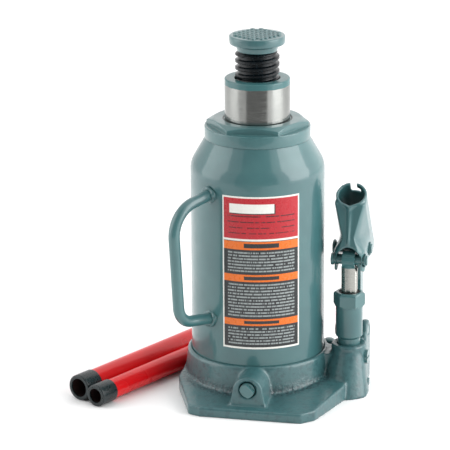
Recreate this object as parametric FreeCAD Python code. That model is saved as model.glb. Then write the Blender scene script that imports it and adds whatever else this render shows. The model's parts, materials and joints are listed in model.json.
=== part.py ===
"""Hydraulic bottle jack with its two loose handle tubes.

One STEP file per piece.  Millimetres, +Z up.  The origin is on the ram's axis, on the
underside of the base; +X points to the pump and -Y to the release valve.
"""
import FreeCAD, Part
import math
import os
from FreeCAD import Vector

# ---- driving dimensions ---------------------------------------------------------------
# Base casting
PLATE_T = 7.8
PLATE_RISE = 0.086
RING_LOW_R = 58.8
RING_TOP_R = 56.2
RING_TOP_Z = 31.0
LIP_Z = 32.8
FLOOR_Z = 27.5
PLATE_FRONT_Y = -86.7
PLATE_LEFT_X = -58.0
# Reservoir tank and main cylinder
TANK_R = 53.0
CUP_R = TANK_R + 0.05
TANK_WALL = 3.5
TANK_TOP_Z = 205.0
SHOULDER_Z = 179.0
SHOULDER_ARC_R = 21.0
SHOULDER_TURN = 30.0
GASKET_T = 1.5
CYL_BORE_R = 29.5
CYL_R = 35.0
CYL_TOP_Z = 204.0
# Top nut
NUT_COLLAR_R = 41.65
NUT_COLLAR_TOP = 214.8
NUT_TOP = 220.3
NUT_FLATS = 70.0
NUT_TURN = 35.6
NUT_SKIRT_R = 37.5
NUT_SKIRT_Z = 193.0
NUT_BORE_R = 25.70
# Ram, as it stands with the ram partly raised
RAM_R = 25.65
RAM_TOP = 252.5
RAM_FOOT = 58.5
RAM_BORE_R = 17.9
RAM_BORE_Z = 160.0
PISTON_TOP = 82.0
PISTON_FOOT = 70.0
CUP_TOP = 68.0
CUP_FOOT = 62.0
PISTON_R = CYL_BORE_R - 0.05
SPIGOT_R = 16.0
# Extension screw and saddle
SCREW_R = 17.35
SCREW_ROOT_R = 15.2
SCREW_PITCH = 5.6
SCREW_TOP = 274.0
SCREW_FOOT = 185.0
NECK_R = 11.0
KEEPER_Z = 276.5
SADDLE_R = 21.9
SADDLE_FOOT = 279.6
SADDLE_TOP = 287.7
SADDLE_COLLAR_R = 16.7
BUMP = 3.3
BUMP_PITCH = 5.0
BUMP_H = 1.2
# Pump: A is the plunger pin, B the socket's fulcrum pin and C the link's foot pin
PUMP_X = 74.0
BOSS_R = 14.0
BOSS_TOP = 39.0
WELL_R = 8.95
WELL_Z = 22.0
BARREL_R = 10.7
BARREL_Z = 44.0
BARREL_HEX_Z = 70.0
BARREL_TOP = 81.8
BARREL_FLATS = 22.0
BARREL_TURN = 33.0
PLUNGER_R = 6.5
PLUNGER_FOOT = 46.0
EYE_R = 7.5
EYE_HALF = 5.0
EYE_HOLE_R = 5.6
A = (0.0, 108.0)
B = (22.0, 111.0)
C = (24.0, 42.0)
PIN_R = 4.0
LINK_HALF = 6.0
LINK_END_R = 7.5
LUG_OUT = 11.8
LUG_IN = 6.3
# Handle socket
SOCKET_MOUTH = (6.0, 160.0)
SOCKET_TILT = 35.0
SOCKET_R = 12.3
SOCKET_BORE_R = 10.2
SOCKET_LENGTH = 62.0
SOCKET_BORE_DEPTH = 34.0
CHEEK_IN = 9.7
ARCH_R = 9.3
# Release valve
VALVE_X = 8.2
VALVE_Z = 22.0
VALVE_FACE_Y = -79.5
VALVE_ARCH_R = 12.0
VALVE_ARCH_Z = 20.0
VALVE_FOOT_HALF = 16.2
STEM_R = 5.8
STEM_SHANK_R = 4.0
STEM_STEP_Y = -62.0
TANG_HALF = 3.6
TANG_OUT = 2.6
FIT = 0.05
OVERLOAD_X = 51.5
OVERLOAD_Y = 35.0
OVERLOAD_R = 6.5
OVERLOAD_TOP = 24.0
# Carrying handle: a round bar in the upright plane at this heading from +X
BAR_R = 4.5
BAR_HEADING = -123.2
# Label on the tank: the heading of its middle, half its wrap, and its two ends
LABEL_HEADING = -74.8
LABEL_HALF_ANGLE = 33.9
LABEL_LOW = 46.5
LABEL_TOP = 170.5
# Loose handle tubes: heading of their length, and how far each lies from the ram's axis
TUBE_HEADING = 64.4
TUBE_WALL = 1.5
LOWER_TUBE_R = 9.6
LOWER_TUBE_LENGTH = 300.0
LOWER_TUBE_START = -119.0
LOWER_TUBE_OFFSET = 86.9
LOWER_CAP_R = 10.4
UPPER_TUBE_R = 8.0
UPPER_TUBE_LENGTH = 290.0
UPPER_TUBE_START = -121.7
UPPER_TUBE_OFFSET = 67.3
UPPER_CAP_R = 8.9
CAP_LENGTH = 17.0
# Oil ways and check valves
SUCTION_Z = 7.0
SUCTION_PLUG_R = 3.0
STRAINER_X = 43.0
DELIVERY_Z = 16.0
DELIVERY_X = 18.0
PLUG_SEAT_X = 87.2
PLUG_Z = 28.0
PLUG_R = 4.0
PLUG_HEAD_R = 5.6
SEAL_Y = -68.0
SEAL_T = 2.4
SEAL_R = 7.6
OVERLOAD_BORE_R = 3.2
DRILL_R = 2.0
BALL_R = 3.0
BALL_CHAMBER_R = 3.4

UP = Vector(0, 0, 1)
ORIGIN = Vector(0, 0, 0)


# ---- shape helpers --------------------------------------------------------------------
def rod(radius, start, end):
    """A round bar between two points."""
    start = Vector(*start)
    along = Vector(*end) - start
    return Part.makeCylinder(radius, along.Length, start, along)


def upright(radius, low, high, x=0.0, y=0.0):
    """A vertical cylinder between two heights."""
    return rod(radius, (x, y, low), (x, y, high))


def tube(outer, inner, low, high, x=0.0, y=0.0):
    """A vertical ring between two heights."""
    return upright(outer, low, high, x, y).cut(upright(inner, low - 1, high + 1, x, y))


def block(low, high):
    """A box given by its two far corners."""
    size = Vector(*high) - Vector(*low)
    return Part.makeBox(size.x, size.y, size.z, Vector(*low))


def slab(points, low, high):
    """A polygon in plan, raised between two heights."""
    wire = Part.makePolygon([Vector(x, y, low) for x, y in points + points[:1]])
    return Part.Face(wire).extrude(Vector(0, 0, high - low))


def side_slab(points, left, right):
    """A polygon of (y, z) points, thickened along X between two places."""
    wire = Part.makePolygon([Vector(left, y, z) for y, z in points + points[:1]])
    return Part.Face(wire).extrude(Vector(right - left, 0, 0))


def turned(points):
    """A closed (radius, z) outline turned about the Z axis."""
    wire = Part.makePolygon([Vector(r, 0, z) for r, z in points + points[:1]])
    return Part.Face(wire).revolve(ORIGIN, UP, 360)


def turned_edges(edges):
    """A closed outline of edges in the XZ plane turned about the Z axis."""
    return Part.Face(Part.Wire(edges)).revolve(ORIGIN, UP, 360)


def hexagon(flats, low, high, turn=0.0, x=0.0, y=0.0):
    """An upright hexagonal prism; turn is the heading of one flat's normal."""
    corner_r = flats / 2 / math.cos(math.pi / 6)
    headings = [math.radians(turn + 30 + 60 * k) for k in range(6)]
    corners = [(x + corner_r * math.cos(h), y + corner_r * math.sin(h)) for h in headings]
    return slab(corners, low, high)


def joined(shapes):
    """One clean solid made of several that touch or overlap."""
    result = shapes[0]
    for shape in shapes[1:]:
        result = result.fuse(shape)
    return result.removeSplitter()


def without(shape, tools):
    """A shape with each tool cut away."""
    for tool in tools:
        shape = shape.cut(tool)
    return shape.removeSplitter()


def rounded(shape, radius, chosen):
    """The shape with the chosen edges rounded."""
    edges = [edge for edge in shape.Edges if chosen(edge)]
    return shape.makeFillet(radius, edges)


def save(node, shape):
    """Write one piece and report its size."""
    os.makedirs("parts", exist_ok=True)
    shape.exportStep("parts/%s.step" % node)
    box = shape.BoundBox
    print("%-24s valid %s solids %d volume %9.1f  z %.1f to %.1f" % (
        node, shape.isValid(), len(shape.Solids), shape.Volume, box.ZMin, box.ZMax))


# ---- base -----------------------------------------------------------------------------
def foot_plate():
    """The foot: splayed to the front, with a top that rises gently to the ring."""
    front = PLATE_FRONT_Y
    left = PLATE_LEFT_X
    corners = [(left, 0), (left, -32), (-38.4, front + 4), (-28, front), (51.5, front),
               (61.5, front + 9.3), (75.6, -29.7), (75.6, 0)]
    back_z = PLATE_T - front * PLATE_RISE
    wedge = side_slab([(front, 0), (0, 0), (0, back_z), (front, PLATE_T)], left - 5, 80)
    plate = slab(corners, 0, back_z + 1)
    plate = rounded(plate, 4.0, lambda e: vertical(e) and e.BoundBox.YMax < -20)
    return plate.common(wedge)


def vertical(edge):
    """True for a straight edge that runs along Z."""
    box = edge.BoundBox
    return box.ZLength > 1 and box.XLength < 0.01 and box.YLength < 0.01


def base_ring():
    """The round cup that the tank stands in."""
    return turned([(0, 0), (RING_LOW_R + 0.4, 0), (RING_LOW_R, PLATE_T), (RING_TOP_R, RING_TOP_Z),
                   (TANK_R + 1.2, LIP_Z), (CUP_R, LIP_Z), (CUP_R, FLOOR_Z),
                   (0, FLOOR_Z)])


def pump_boss():
    """The block under the pump, its web to the ring, and the link's two lugs."""
    foot_outline = [(56, -20), (66, -27), (76, -28.7), (85, -24.2), (90.6, -18), (91.6, -8),
                    (89.2, 6), (86.2, 18), (81.5, 29), (71, 33.5), (58, 32), (53, 15), (53, -8)]
    body = drafted(foot_outline, BOSS_R - 1, BOSS_TOP - 2)
    web = slab([(50, -9), (66, -9), (66, 16), (50, 16)], 0, BOSS_TOP - 8)
    neck = upright(BOSS_R, 0, BOSS_TOP, PUMP_X)
    lug_low = block((PUMP_X - LUG_OUT, 12, 0), (PUMP_X + LUG_OUT, C[0] + 8.5, C[1]))
    lug_top = rod(8.5, (PUMP_X - LUG_OUT, C[0], C[1]), (PUMP_X + LUG_OUT, C[0], C[1]))
    lugs = joined([lug_low, lug_top])
    slot = block((PUMP_X - LUG_IN, 13.5, PLATE_T + 20), (PUMP_X + LUG_IN, 60, 70))
    lugs = without(lugs, [slot])
    return joined([body, web, neck, lugs])


def drafted(outline, neck_r, height):
    """A block that runs from a smooth closed outline on the floor up to a round neck."""
    foot = [Vector(x, y, 0) for x, y in outline]
    axis = Vector(PUMP_X, 0, 0)
    neck = [axis + (point - axis).normalize() * neck_r + Vector(0, 0, height) for point in foot]
    wires = []
    for points in (foot, neck):
        curve = Part.BSplineCurve()
        curve.interpolate(Points=points, PeriodicFlag=True)
        wires.append(Part.Wire(curve.toShape()))
    return Part.makeLoft(wires, True, True)


def valve_boss():
    """The arched boss at the front that holds the release valve, wider at its foot."""
    arch = rod(VALVE_ARCH_R, (VALVE_X, VALVE_FACE_Y, VALVE_ARCH_Z), (VALVE_X, -45, VALVE_ARCH_Z))
    side = VALVE_ARCH_R - 0.3
    spring_z = VALVE_ARCH_Z + 2
    corners = [(-VALVE_FOOT_HALF, 0), (VALVE_FOOT_HALF, 0), (side, spring_z), (-side, spring_z)]
    wire = Part.makePolygon([Vector(VALVE_X + x, VALVE_FACE_Y, z) for x, z in
                             corners + corners[:1]])
    foot = Part.Face(wire).extrude(Vector(0, -45 - VALVE_FACE_Y, 0))
    inside_cup = upright(CUP_R, FLOOR_Z, 80)
    return joined([arch, foot]).cut(inside_cup)


def overload_pad():
    """The small round pad beside the pump that holds the overload valve."""
    pad = upright(OVERLOAD_R, 0, OVERLOAD_TOP, OVERLOAD_X, OVERLOAD_Y)
    return pad.cut(upright(CUP_R, FLOOR_Z, 80))


def oil_ways():
    """Every drilled hole in the base."""
    well = upright(WELL_R, WELL_Z, BOSS_TOP + 1, PUMP_X)
    suction_chamber = upright(BALL_CHAMBER_R, 13.5, WELL_Z + 1, PUMP_X)
    suction_drop = upright(DRILL_R, SUCTION_Z, 14, PUMP_X)
    suction_way = rod(DRILL_R, (STRAINER_X, 0, SUCTION_Z), (89, 0, SUCTION_Z))
    suction_mouth = rod(SUCTION_PLUG_R, (87, 0, SUCTION_Z), (92, 0, SUCTION_Z))
    strainer_well = upright(DRILL_R, SUCTION_Z, FLOOR_Z + 1, STRAINER_X)
    delivery_way = rod(DRILL_R, (DELIVERY_X, 0, DELIVERY_Z), (PUMP_X, 0, DELIVERY_Z))
    delivery_chamber = upright(BALL_CHAMBER_R, DELIVERY_Z - 0.5, FLOOR_Z + 1, DELIVERY_X)
    plug_hole = rod(PLUG_R, (83.1, 0, PLUG_Z), (92, 0, PLUG_Z))
    plug_seat = rod(PLUG_HEAD_R + 0.6, (PLUG_SEAT_X, 0, PLUG_Z), (95, 0, PLUG_Z))
    stem_bore = rod(STEM_R + FIT, (VALVE_X, VALVE_FACE_Y - 1, VALVE_Z),
                    (VALVE_X, STEM_STEP_Y + 1, VALVE_Z))
    shank_bore = rod(STEM_SHANK_R + FIT, (VALVE_X, STEM_STEP_Y, VALVE_Z), (VALVE_X, -45, VALVE_Z))
    stem_mouth = rod(6.7, (VALVE_X, VALVE_FACE_Y - 1, VALVE_Z),
                     (VALVE_X, VALVE_FACE_Y + 4, VALVE_Z))
    ring_groove = rod(SEAL_R, (VALVE_X, SEAL_Y, VALVE_Z), (VALVE_X, SEAL_Y + SEAL_T, VALVE_Z))
    ball_seat = rod(4.1, (VALVE_X, -46, VALVE_Z), (VALVE_X, -36, VALVE_Z))
    release_way = rod(DRILL_R, (VALVE_X, -37, VALVE_Z), (VALVE_X, -20, VALVE_Z))
    release_up = upright(DRILL_R, VALVE_Z, FLOOR_Z + 1, VALVE_X, -20)
    return_up = upright(DRILL_R, VALVE_Z, FLOOR_Z + 1, VALVE_X, -42)
    overload_bore = upright(OVERLOAD_BORE_R, 6, OVERLOAD_TOP + 1, OVERLOAD_X, OVERLOAD_Y)
    return [well, suction_chamber, suction_drop, suction_way, suction_mouth, strainer_well,
            delivery_way, delivery_chamber, plug_hole, plug_seat, stem_bore, shank_bore,
            stem_mouth, ring_groove, ball_seat, release_way, release_up, return_up, overload_bore]


def base_casting():
    """The whole cast base."""
    solid = joined([base_ring(), foot_plate(), pump_boss(), valve_boss(), overload_pad()])
    pin_hole = rod(PIN_R, (PUMP_X - 20, C[0], C[1]), (PUMP_X + 20, C[0], C[1]))
    tank_room = upright(CUP_R, FLOOR_Z, 120)
    return without(solid, [tank_room, pin_hole] + oil_ways())


# ---- tank, cylinder and top nut -------------------------------------------------------
def shoulder(radius, arc_r, cone_foot_z):
    """Edges of the shoulder from the upright wall to the top, for one face of the wall."""
    turn = math.radians(SHOULDER_TURN)
    mid = turn / 2
    start = Vector(radius, 0, cone_foot_z)
    centre_r = radius - arc_r
    middle = Vector(centre_r + arc_r * math.cos(mid), 0, cone_foot_z + arc_r * math.sin(mid))
    end = Vector(centre_r + arc_r * math.cos(turn), 0, cone_foot_z + arc_r * math.sin(turn))
    rise = TANK_TOP_Z - end.z
    top = Vector(end.x - rise * math.tan(turn), 0, TANK_TOP_Z)
    return start, Part.Arc(start, middle, end).toShape(), end, top


def reservoir_tank():
    """The round tank with its coned shoulder, standing on its gasket."""
    foot = FLOOR_Z + GASKET_T
    start, arc, end, top = shoulder(TANK_R, SHOULDER_ARC_R, SHOULDER_Z)
    in_start, in_arc, in_end, in_top = shoulder(TANK_R - TANK_WALL,
                                                SHOULDER_ARC_R - TANK_WALL, SHOULDER_Z)
    lip_r = NUT_SKIRT_R + 0.1
    slope = math.tan(math.radians(SHOULDER_TURN))
    lip_low = TANK_TOP_Z - (lip_r - in_top.x) / slope
    outer_foot = Vector(TANK_R, 0, foot)
    inner_foot = Vector(TANK_R - TANK_WALL, 0, foot)
    lip_top = Vector(lip_r, 0, TANK_TOP_Z)
    lip_under = Vector(lip_r, 0, lip_low)
    line = Part.makeLine
    return turned_edges([line(outer_foot, start), arc, line(end, top), line(top, lip_top),
                         line(lip_top, lip_under), line(lip_under, in_end), in_arc,
                         line(in_start, inner_foot), line(inner_foot, outer_foot)])


def main_cylinder():
    """The pressure cylinder inside the tank."""
    return tube(CYL_R, CYL_BORE_R, FLOOR_Z + 1, CYL_TOP_Z)


def top_nut():
    """The nut that closes the tank: skirt, collar, hexagon and bore."""
    low = TANK_TOP_Z
    turned_part = turned([(NUT_BORE_R, 203), (CYL_BORE_R - 0.1, 203), (CYL_BORE_R - 0.1, low),
                          (CYL_R, low), (CYL_R, NUT_SKIRT_Z), (NUT_SKIRT_R, NUT_SKIRT_Z),
                          (NUT_SKIRT_R, low), (NUT_COLLAR_R - 0.8, low),
                          (NUT_COLLAR_R, low + 0.8), (NUT_COLLAR_R, NUT_COLLAR_TOP - 0.8),
                          (NUT_COLLAR_R - 0.8, NUT_COLLAR_TOP), (NUT_BORE_R, NUT_COLLAR_TOP)])
    hexagonal = hexagon(NUT_FLATS, NUT_COLLAR_TOP - 1, NUT_TOP, NUT_TURN)
    corner = NUT_FLATS / 2 / math.cos(math.pi / 6)
    chamfer = turned([(0, NUT_COLLAR_TOP - 2), (corner + 1, NUT_COLLAR_TOP - 2),
                      (corner + 1, NUT_TOP - 3.2), (NUT_FLATS / 2 - 0.6, NUT_TOP), (0, NUT_TOP)])
    hexagonal = hexagonal.common(chamfer).cut(upright(NUT_BORE_R, 190, 230))
    wiper_seat = tube(28.7, NUT_BORE_R - 1, 216.5, NUT_TOP + 1)
    seal_groove = tube(40.4, 38.4, low - 1, low + 1.2)
    return without(joined([turned_part, hexagonal]), [wiper_seat, seal_groove])


def body_seals():
    """The gaskets and rings that keep the oil in."""
    foot = FLOOR_Z
    save("tank_gasket", tube(TANK_R, TANK_R - TANK_WALL, foot, foot + GASKET_T))
    save("cylinder_washer", tube(CYL_R, CYL_BORE_R, foot, foot + 1))
    save("top_nut_seal", tube(40.4, 38.4, TANK_TOP_Z, TANK_TOP_Z + 1.2))
    save("ram_wiper", turned([(NUT_BORE_R, 216.5), (28.7, 216.5), (28.7, 219.6), (26.9, 219.6),
                              (NUT_BORE_R, 218.6)]))


# ---- things fixed to the tank ---------------------------------------------------------
def bar_point(out, z):
    """A point in the carrying handle's plane, this far out from the ram's axis."""
    heading = math.radians(BAR_HEADING)
    return Vector(out * math.cos(heading), out * math.sin(heading), z)


def rounded_path(corners, radii):
    """A path of straight runs with a tangent arc at each inner corner."""
    edges = []
    last = corners[0]
    for k, radius in enumerate(radii, start=1):
        before = (corners[k - 1] - corners[k]).normalize()
        after = (corners[k + 1] - corners[k]).normalize()
        half = before.getAngle(after) / 2
        reach = radius / math.tan(half)
        begin = corners[k] + before * reach
        finish = corners[k] + after * reach
        inward = (before + after).normalize()
        middle = corners[k] + inward * (radius / math.sin(half) - radius)
        edges.append(Part.makeLine(last, begin))
        edges.append(Part.Arc(begin, middle, finish).toShape())
        last = finish
    edges.append(Part.makeLine(last, corners[-1]))
    return Part.Wire(edges)


def handle_corners():
    """The carrying handle's route: into the tank high and low, and round two bends."""
    return [bar_point(50, 168.4), bar_point(92, 161.5), bar_point(86, 71),
            bar_point(50, 66.4)]


def carry_handle():
    """The bent bar, cut to sit on the tank's wall."""
    corners = handle_corners()
    path = rounded_path(corners, [24.0, 15.0])
    start = (corners[1] - corners[0]).normalize()
    profile = Part.Wire([Part.makeCircle(BAR_R, corners[0], start)])
    bar = path.makePipeShell([profile], True, False)
    return bar.cut(upright(TANK_R + 0.02, 20, 200))


def handle_welds():
    """The bead of weld around each end of the carrying handle."""
    corners = handle_corners()
    beads = []
    for end, bend in ((corners[0], corners[1]), (corners[3], corners[2])):
        along = (bend - end).normalize()
        centre = end + along * (TANK_R + 0.8 - 50)
        ring = Part.makeTorus(BAR_R + 0.8, 1.8, centre, along)
        bar_room = Part.makeCylinder(BAR_R + 0.05, 30, end - along * 10, along)
        beads.append(ring.cut(upright(TANK_R + 0.02, 20, 200)).cut(bar_room))
    return Part.makeCompound(beads)


def label_panel():
    """The thin wrapped panel on the tank's front."""
    skin = tube(TANK_R + 0.3, TANK_R + 0.02, LABEL_LOW, LABEL_TOP)
    reach = 90
    corners = [(0, 0)]
    for side in (-1, 0, 1):
        heading = math.radians(LABEL_HEADING + side * LABEL_HALF_ANGLE)
        corners.append((reach * math.cos(heading), reach * math.sin(heading)))
    return skin.common(slab(corners, LABEL_LOW - 5, LABEL_TOP + 5))


def filler_plug():
    """The rubber plug high on the back of the tank."""
    heading = math.radians(70)
    out = Vector(math.cos(heading), math.sin(heading), 0)
    z = Vector(0, 0, 168)
    head = Part.makeCylinder(7.0, 3.5, out * (TANK_R - 0.4) + z, out)
    head = head.cut(upright(TANK_R + 0.02, 20, 200))
    grip = Part.makeCylinder(3.0, 2.5, out * (TANK_R + 3.0) + z, out)
    return joined([head, grip])


# ---- valves in the base ---------------------------------------------------------------
def valve_pieces():
    """The check balls, plugs, strainer, and the release valve's ball and ring."""
    save("suction_ball", Part.makeSphere(BALL_R, Vector(PUMP_X, 0, 15.9)))
    save("delivery_ball", Part.makeSphere(BALL_R, Vector(DELIVERY_X, 0, DELIVERY_Z + 2.6)))
    save("oil_strainer", tube(5.0, 1.5, FLOOR_Z, FLOOR_Z + 1.4, STRAINER_X))
    face_x = PLUG_SEAT_X + 2.4
    plug = joined([rod(PLUG_R, (83.3, 0, PLUG_Z), (PLUG_SEAT_X, 0, PLUG_Z)),
                   rod(PLUG_HEAD_R, (PLUG_SEAT_X, 0, PLUG_Z), (face_x, 0, PLUG_Z))])
    plug_slot = block((face_x - 1.2, -6, PLUG_Z - 0.8), (face_x + 1, 6, PLUG_Z + 0.8))
    save("delivery_plug", plug.cut(plug_slot))
    save("suction_plug", rod(SUCTION_PLUG_R, (87.1, 0, SUCTION_Z), (90.6, 0, SUCTION_Z)))
    save("release_ball", Part.makeSphere(4.0, Vector(VALVE_X, -41.0, VALVE_Z)))
    seal = rod(SEAL_R, (VALVE_X, SEAL_Y, VALVE_Z), (VALVE_X, SEAL_Y + SEAL_T, VALVE_Z))
    stem_room = rod(STEM_R + FIT, (VALVE_X, SEAL_Y - 2, VALVE_Z), (VALVE_X, SEAL_Y + 5, VALVE_Z))
    save("release_valve_ring", seal.cut(stem_room))


def overload_pieces():
    """The overload valve: ball, spring, slotted screw and the cap over them."""
    x = OVERLOAD_X
    y = OVERLOAD_Y
    top = OVERLOAD_TOP
    save("overload_ball", Part.makeSphere(2.0, Vector(x, y, 8.2)))
    save("overload_spring", tube(2.9, 2.0, 10.4, top - 6.2, x, y))
    screw = upright(OVERLOAD_BORE_R, top - 6, top, x, y)
    save("overload_screw", screw.cut(block((x - 4, y - 0.6, top - 1.4), (x + 4, y + 0.6, top + 1))))
    cap = turned([(0, 0), (5.4, 0), (5.4, 1.6), (4.6, 3.6), (2.8, 4.8), (0, 5.2)])
    cap.translate(Vector(x, y, top))
    save("overload_cap", cap)


def release_valve_stem():
    """The release valve's screw; its end is a flat tang that the handle's notch turns."""
    face = VALVE_FACE_Y - 0.6
    head = rod(STEM_R, (VALVE_X, face, VALVE_Z), (VALVE_X, STEM_STEP_Y, VALVE_Z))
    shank = rod(STEM_SHANK_R, (VALVE_X, STEM_STEP_Y, VALVE_Z), (VALVE_X, -45.2, VALVE_Z))
    end = rod(STEM_R - 0.3, (VALVE_X, face - TANG_OUT, VALVE_Z), (VALVE_X, face, VALVE_Z))
    flats = block((VALVE_X - 10, face - 5, VALVE_Z - TANG_HALF),
                  (VALVE_X + 10, face + 1, VALVE_Z + TANG_HALF))
    flats.rotate(Vector(VALVE_X, 0, VALVE_Z), Vector(0, 1, 0), 45)
    return joined([head, shank, end.common(flats)])


# ---- ram, screw and saddle ------------------------------------------------------------
def ram_pieces():
    """The ram and the stack on its foot."""
    ram = turned([(0, RAM_FOOT), (SPIGOT_R, RAM_FOOT), (SPIGOT_R, PISTON_TOP),
                  (RAM_R, PISTON_TOP), (RAM_R, RAM_TOP - 1.2), (RAM_R - 1.2, RAM_TOP),
                  (RAM_BORE_R, RAM_TOP), (RAM_BORE_R, RAM_BORE_Z), (0, RAM_BORE_Z)])
    save("ram", ram)
    save("piston", tube(PISTON_R, SPIGOT_R, PISTON_FOOT, PISTON_TOP))
    save("backup_ring", tube(PISTON_R, SPIGOT_R, CUP_TOP, PISTON_FOOT))
    groove_z = CUP_FOOT + 3.5
    cup = turned([(SPIGOT_R, CUP_FOOT), (21, CUP_FOOT), (23, groove_z), (27, groove_z),
                  (28.4, CUP_FOOT), (PISTON_R, CUP_FOOT), (PISTON_R, CUP_TOP),
                  (SPIGOT_R, CUP_TOP)])
    save("piston_cup", cup)
    save("piston_retainer", tube(20.5, SPIGOT_R, RAM_FOOT + 0.5, CUP_FOOT))


def extension_screw():
    """The screw in the ram; each thread is drawn as a ring, one pitch apart."""
    outline = [(0, SCREW_FOOT), (SCREW_ROOT_R, SCREW_FOOT)]
    turns = int((SCREW_TOP - SCREW_FOOT - 4) / SCREW_PITCH)
    flank = 0.9
    crest = 1.9
    for k in range(turns):
        low = SCREW_FOOT + 1.5 + k * SCREW_PITCH
        outline += [(SCREW_ROOT_R, low), (SCREW_R, low + flank),
                    (SCREW_R, low + flank + crest), (SCREW_ROOT_R, low + 2 * flank + crest)]
    outline += [(SCREW_ROOT_R, SCREW_TOP), (NECK_R, SCREW_TOP), (NECK_R, KEEPER_Z),
                (NECK_R - 1.2, KEEPER_Z), (NECK_R - 1.2, KEEPER_Z + 1.2),
                (NECK_R, KEEPER_Z + 1.2), (NECK_R, SADDLE_FOOT + 2), (0, SADDLE_FOOT + 2)]
    return turned(outline)


def saddle():
    """The load pad: a collar, a rounded rim and a top covered in small square bumps."""
    bore_r = NECK_R + 0.1
    rim = turned([(bore_r, SCREW_TOP), (SADDLE_COLLAR_R, SCREW_TOP),
                  (SADDLE_COLLAR_R, SADDLE_FOOT), (SADDLE_R - 1.8, SADDLE_FOOT),
                  (SADDLE_R, SADDLE_FOOT + 1.8), (SADDLE_R, SADDLE_TOP - BUMP_H - 2.2),
                  (SADDLE_R - 2.2, SADDLE_TOP - BUMP_H), (0, SADDLE_TOP - BUMP_H),
                  (0, SADDLE_FOOT + 2.1), (bore_r, SADDLE_FOOT + 2.1),
                  (bore_r, KEEPER_Z + 1.2), (bore_r + 1.4, KEEPER_Z + 1.2),
                  (bore_r + 1.4, KEEPER_Z), (bore_r, KEEPER_Z)])
    half = BUMP / 2
    low = SADDLE_TOP - BUMP_H - 0.5
    bumps = []
    for column in range(-3, 4):
        for row in range(-3, 4):
            x = column * BUMP_PITCH
            y = row * BUMP_PITCH
            if math.hypot(x, y) < SADDLE_R - 4.5:
                bumps.append(block((x - half, y - half, low), (x + half, y + half, SADDLE_TOP)))
    return joined([rim] + bumps)


def screw_keeper():
    """The ring that keeps the saddle on the screw's neck."""
    return tube(NECK_R + 1.4, NECK_R - 1.1, KEEPER_Z + 0.1, KEEPER_Z + 1.1)


# ---- pump -----------------------------------------------------------------------------
def pump_barrel():
    """The screwed-in pump cylinder with its hexagonal head."""
    body = turned([(PLUNGER_R + 0.05, WELL_Z + 1.5), (WELL_R, WELL_Z + 1.5), (WELL_R, BARREL_Z),
                   (BARREL_R, BARREL_Z + 1.6), (BARREL_R, BARREL_HEX_Z),
                   (PLUNGER_R + 0.05, BARREL_HEX_Z)])
    body.translate(Vector(PUMP_X, 0, 0))
    head = hexagon(BARREL_FLATS, BARREL_HEX_Z, BARREL_TOP, BARREL_TURN, PUMP_X)
    corner = BARREL_FLATS / 2 / math.cos(math.pi / 6)
    taper = turned([(0, BARREL_HEX_Z), (BARREL_R, BARREL_HEX_Z), (corner, BARREL_HEX_Z + 1.6),
                    (corner, BARREL_TOP - 1.6), (BARREL_FLATS / 2 - 0.6, BARREL_TOP),
                    (0, BARREL_TOP)])
    taper.translate(Vector(PUMP_X, 0, 0))
    head = head.common(taper).cut(upright(PLUNGER_R + 0.05, 60, 90, PUMP_X))
    wiper_seat = upright(8.6, BARREL_TOP - 2.4, BARREL_TOP + 1, PUMP_X)
    return without(joined([body, head]), [wiper_seat])


def plunger():
    """The pump plunger: a ground rod with a flat eye for its pin."""
    y, z = A
    stem = upright(PLUNGER_R, PLUNGER_FOOT, z, PUMP_X)
    cheeks = block((PUMP_X - EYE_HALF, -10, z - 6.2), (PUMP_X + EYE_HALF, 10, z + 10))
    stem_low = stem.cut(block((PUMP_X - 20, -20, z - 6.2), (PUMP_X + 20, 20, z + 20)))
    stem_high = stem.common(cheeks)
    eye = rod(EYE_R, (PUMP_X - EYE_HALF, y, z), (PUMP_X + EYE_HALF, y, z))
    hole = rod(EYE_HOLE_R, (PUMP_X - 10, y, z), (PUMP_X + 10, y, z))
    return without(joined([stem_low, stem_high, eye]), [hole])


def link():
    """The bar that holds the socket's fulcrum pin at the height of its foot pin."""
    ends = [rod(LINK_END_R, (PUMP_X - LINK_HALF, y, z), (PUMP_X + LINK_HALF, y, z))
            for y, z in (B, C)]
    half = 5.6
    bar = side_slab([(C[0] - half, C[1]), (C[0] + half, C[1]), (B[0] + half, B[1]),
                     (B[0] - half, B[1])], PUMP_X - LINK_HALF, PUMP_X + LINK_HALF)
    holes = [rod(PIN_R + 0.05, (PUMP_X - 10, y, z), (PUMP_X + 10, y, z)) for y, z in (B, C)]
    return without(joined([bar] + ends), holes)


def socket_point(along, below):
    """A (y, z) point of the socket: along its bore from the mouth, and below its axis."""
    tilt = math.radians(SOCKET_TILT)
    y = SOCKET_MOUTH[0] + along * math.sin(tilt) - below * math.cos(tilt)
    z = SOCKET_MOUTH[1] - along * math.cos(tilt) - below * math.sin(tilt)
    return y, z


def socket_rod(radius, begin, finish):
    """A round bar on the socket's own axis."""
    low = socket_point(begin, 0)
    high = socket_point(finish, 0)
    return rod(radius, (PUMP_X, low[0], low[1]), (PUMP_X, high[0], high[1]))


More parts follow.
